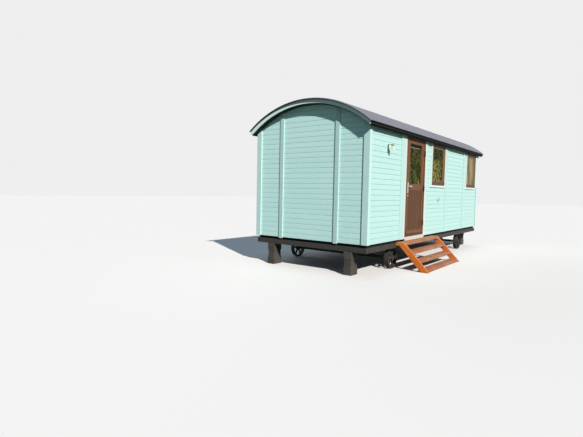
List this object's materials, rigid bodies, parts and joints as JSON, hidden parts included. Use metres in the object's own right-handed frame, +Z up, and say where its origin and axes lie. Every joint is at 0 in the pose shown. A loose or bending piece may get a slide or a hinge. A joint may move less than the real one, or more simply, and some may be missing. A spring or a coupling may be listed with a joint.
{
  "type": "shepherds hut",
  "caption": "Long boarded cabin with an arched corrugated roof on a steel chassis with iron wheels; part-glazed hinged door, side windows and open timber steps.",
  "frame": {"origin": "on the ground, under the middle of the hut and its steps", "axes": "+X along the hut from the end nearer the door, +Y from the door side to the back, +Z up"},
  "size_m": [7.48, 3.52, 3.3741],
  "materials": {
    "boarding": "satin paint, duck-egg blue",
    "trim_paint": "satin paint, duck-egg blue",
    "pale_trim": "satin paint, off-white",
    "stained_frame": "satin woodstain",
    "glazing": "clear",
    "blind_cloth": "woven",
    "satin_steel": "satin",
    "hinge_steel": "black japanned",
    "roof_timber": "dark woodstain",
    "roof_iron": "matt coated corrugated sheet",
    "floor_boards": "plain boards",
    "chassis_paint": "dull dark paint",
    "stack_timber": "weathered dark timber",
    "wheel_iron": "dull dark iron",
    "step_timber": "orange-brown woodstain",
    "lamp_metal": "dark",
    "lamp_glass": "frosted"
  },
  "bodies": {
    "hut": {"near_end_wall": "boarding", "far_end_wall": "boarding", "back_wall": "boarding", "front_wall_panels": "boarding", "front_wall_under_windows": "boarding", "front_wall_plate": "boarding", "corner_boards": "trim_paint", "end_wall_strips": "trim_paint", "side_wall_strips": "trim_paint", "bargeboards": "trim_paint", "door_trim": "pale_trim", "window_trim": "pale_trim", "window_sills": "pale_trim", "threshold": "pale_trim", "door_frame_posts": "stained_frame", "door_frame_rails": "stained_frame", "window_frames": "stained_frame", "window_casements": "stained_frame", "window_glass": "glazing", "door_hinge_pins": "hinge_steel", "hold_back_hook": "hinge_steel", "roof_deck": "roof_timber", "eave_boards": "roof_timber", "roof_sheets": "roof_iron", "floor": "floor_boards", "floor_base": "floor_boards", "chassis_rails": "chassis_paint", "end_beams": "chassis_paint", "cross_members": "chassis_paint", "axles": "chassis_paint", "support_stacks": "stack_timber", "step_stringers": "step_timber", "step_tread_1": "step_timber", "step_tread_2": "step_timber", "step_tread_3": "step_timber", "step_tread_4": "step_timber", "wall_lamp": "lamp_metal", "wall_lamp_glass": "lamp_glass"},
    "door": {"door_leaf": "stained_frame", "door_glass": "glazing", "door_blind": "blind_cloth", "door_handle_plates": "satin_steel", "door_hinge_plates": "hinge_steel"},
    "lever": {"door_handle": "satin_steel"},
    "near_front_wheel": {"near_front_wheel": "wheel_iron"},
    "near_back_wheel": {"near_back_wheel": "wheel_iron"},
    "far_front_wheel": {"far_front_wheel": "wheel_iron"},
    "far_back_wheel": {"far_back_wheel": "wheel_iron"}
  },
  "joints": [
    {"name": "door_swing", "type": "hinge", "parent": "hut", "child": "door", "pos_m": [-0.909, -1.08696, 1.6885], "axis": [0, 0, 1], "range_deg": [0, 170]},
    {"name": "lever_turn", "type": "hinge", "parent": "door", "child": "lever", "pos_m": [-1.807, -1.04296, 1.718], "axis": [0, 1, 0], "range_deg": [0, 45], "stiffness_Nm_per_rad": 1.2, "springref_deg": -57.3},
    {"name": "near_front_wheel_spin", "type": "hinge", "parent": "hut", "child": "near_front_wheel", "pos_m": [-2.225, -0.92496, 0.22], "axis": [0, 1, 0], "continuous": true},
    {"name": "near_back_wheel_spin", "type": "hinge", "parent": "hut", "child": "near_back_wheel", "pos_m": [-2.225, 1.49504, 0.22], "axis": [0, 1, 0], "continuous": true},
    {"name": "far_front_wheel_spin", "type": "hinge", "parent": "hut", "child": "far_front_wheel", "pos_m": [2.225, -0.92496, 0.22], "axis": [0, 1, 0], "continuous": true},
    {"name": "far_back_wheel_spin", "type": "hinge", "parent": "hut", "child": "far_back_wheel", "pos_m": [2.225, 1.49504, 0.22], "axis": [0, 1, 0], "continuous": true}
  ]
}
